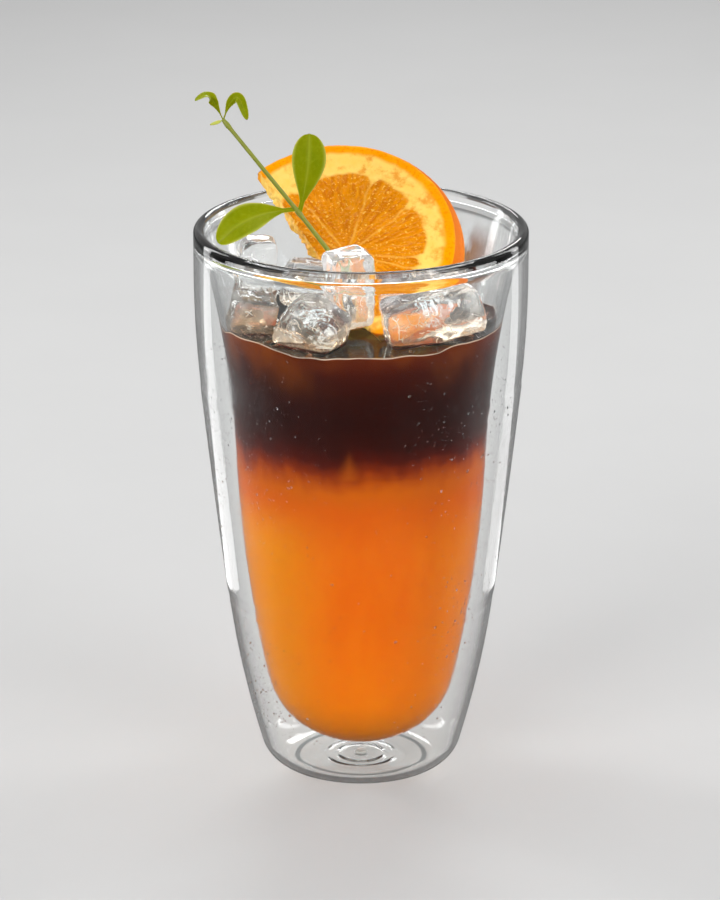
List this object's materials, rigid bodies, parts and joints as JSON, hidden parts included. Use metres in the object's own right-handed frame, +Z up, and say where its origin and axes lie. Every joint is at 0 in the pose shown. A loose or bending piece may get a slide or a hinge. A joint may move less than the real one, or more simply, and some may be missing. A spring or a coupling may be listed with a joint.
{
  "type": "cup of iced coffee",
  "caption": "Tall double-walled glass of orange juice under dark coffee, with ice, a half slice of orange and a leafy green sprig standing above the rim.",
  "frame": {"origin": "middle of the glass's foot, on the surface it stands on", "axes": "+Z up along the glass's axis, -Y towards the front, +X to the right as seen from the front; the slice leans at the rear and the sprig leans towards -X"},
  "size_m": [0.09, 0.09, 0.1896],
  "materials": {
    "clear_glass": "polished, misted with fine droplets outside",
    "seal_plug": "satin translucent",
    "juice": "cloudy liquid",
    "coffee": "dark clear liquid",
    "ice": "clear, melted smooth, wet",
    "fruit": "wet cut fruit, pored rind",
    "leaf": "waxy leaf"
  },
  "bodies": {
    "root": {"glass": "clear_glass", "vent_seal": "seal_plug", "juice": "juice", "coffee": "coffee", "ice_left_rear": "ice", "ice_left_front": "ice", "ice_front": "ice", "ice_right": "ice", "ice_tall": "ice", "ice_centre": "ice", "ice_rear": "ice", "orange_slice": "fruit", "leaf_sprig": "leaf"}
  },
  "joints": []
}
